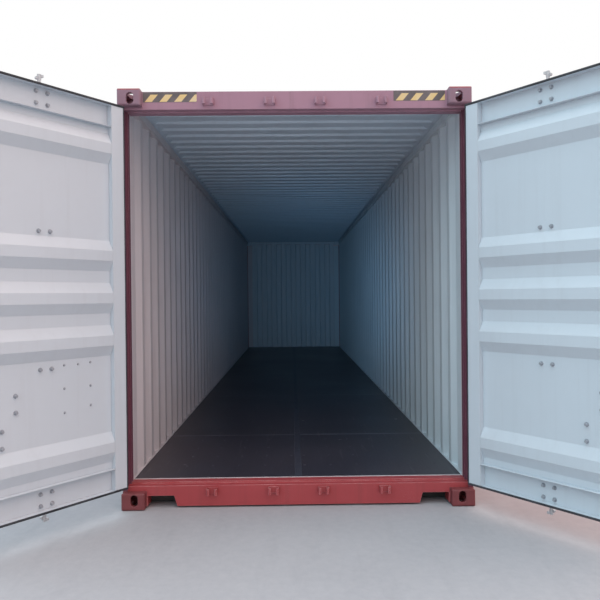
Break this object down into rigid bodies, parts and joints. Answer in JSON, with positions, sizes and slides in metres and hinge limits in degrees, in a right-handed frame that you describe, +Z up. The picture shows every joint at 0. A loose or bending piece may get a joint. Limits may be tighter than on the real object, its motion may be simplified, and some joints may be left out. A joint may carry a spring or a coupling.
{
  "type": "forty foot high cube shipping container",
  "caption": "Corrugated steel freight container with open double doors, turning lock rods, plywood floor, corner castings and a gooseneck tunnel.",
  "frame": {"origin": "on the ground, at the centre of the four bottom corner casting apertures", "axes": "+X along the length from the doors to the closed end, +Y to the left seen from outside the doors, +Z up"},
  "size_m": [13.189, 3.7842, 2.896],
  "materials": {
    "frame_paint": "satin",
    "wall_paint": "satin",
    "door_paint": "satin",
    "lock_gear_zinc": "satin",
    "underside_coating": "matt",
    "floor_plywood": "worn",
    "floor_steel": "worn",
    "gasket_rubber": "matt"
  },
  "bodies": {
    "container": {"bottom_corner_castings": "frame_paint", "top_corner_castings": "frame_paint", "left_rear_post": "frame_paint", "right_rear_post": "frame_paint", "left_front_post": "frame_paint", "right_front_post": "frame_paint", "door_header": "frame_paint", "door_sill": "frame_paint", "front_top_rail": "frame_paint", "front_bottom_rail": "frame_paint", "left_top_rail": "frame_paint", "right_top_rail": "frame_paint", "left_bottom_rail": "frame_paint", "right_bottom_rail": "frame_paint", "left_side_wall": "wall_paint", "right_side_wall": "wall_paint", "front_wall": "wall_paint", "roof_panel": "wall_paint", "cross_members": "underside_coating", "gooseneck_tunnel": "underside_coating", "tunnel_sides": "underside_coating", "tunnel_bows": "underside_coating", "tunnel_outriggers": "underside_coating", "floor_sheets": "floor_plywood", "floor_centre_strip": "floor_steel", "threshold": "floor_steel", "header_cam_keepers": "frame_paint", "sill_cam_keepers": "frame_paint", "left_hinge_lugs": "frame_paint", "right_hinge_lugs": "frame_paint"},
    "left_door": {"left_door_frame": "door_paint", "left_door_panel": "door_paint", "left_door_gasket": "gasket_rubber", "left_door_hinges": "frame_paint", "left_rod_bearings": "lock_gear_zinc"},
    "left_outer_rod": {"left_outer_lock_rod": "lock_gear_zinc", "left_outer_handle": "lock_gear_zinc"},
    "left_inner_rod": {"left_inner_lock_rod": "lock_gear_zinc", "left_inner_handle": "lock_gear_zinc"},
    "right_door": {"right_door_frame": "door_paint", "right_door_panel": "door_paint", "right_door_gasket": "gasket_rubber", "right_door_hinges": "frame_paint", "right_rod_bearings": "lock_gear_zinc"},
    "right_outer_rod": {"right_outer_lock_rod": "lock_gear_zinc", "right_outer_handle": "lock_gear_zinc"},
    "right_inner_rod": {"right_inner_lock_rod": "lock_gear_zinc", "right_inner_handle": "lock_gear_zinc"}
  },
  "joints": [
    {"name": "left_door_swing", "type": "hinge", "parent": "container", "child": "left_door", "pos_m": [-6.074, 1.203, 1.461], "axis": [0, 0, -1], "range_deg": [-127, 138]},
    {"name": "left_outer_rod_turn", "type": "hinge", "parent": "left_door", "child": "left_outer_rod", "pos_m": [-6.55798, 1.5627, 1.461], "axis": [0, 0, 1], "range_deg": [-90, 0]},
    {"name": "left_inner_rod_turn", "type": "hinge", "parent": "left_door", "child": "left_inner_rod", "pos_m": [-6.8982, 1.81907, 1.461], "axis": [0, 0, -1], "range_deg": [-90, 0]},
    {"name": "right_door_swing", "type": "hinge", "parent": "container", "child": "right_door", "pos_m": [-6.074, -1.203, 1.461], "axis": [0, 0, 1], "range_deg": [-126, 139]},
    {"name": "right_outer_rod_turn", "type": "hinge", "parent": "right_door", "child": "right_outer_rod", "pos_m": [-6.56419, -1.5542, 1.461], "axis": [0, 0, -1], "range_deg": [-90, 0]},
    {"name": "right_inner_rod_turn", "type": "hinge", "parent": "right_door", "child": "right_inner_rod", "pos_m": [-6.90883, -1.80459, 1.461], "axis": [0, 0, 1], "range_deg": [-90, 0]}
  ]
}
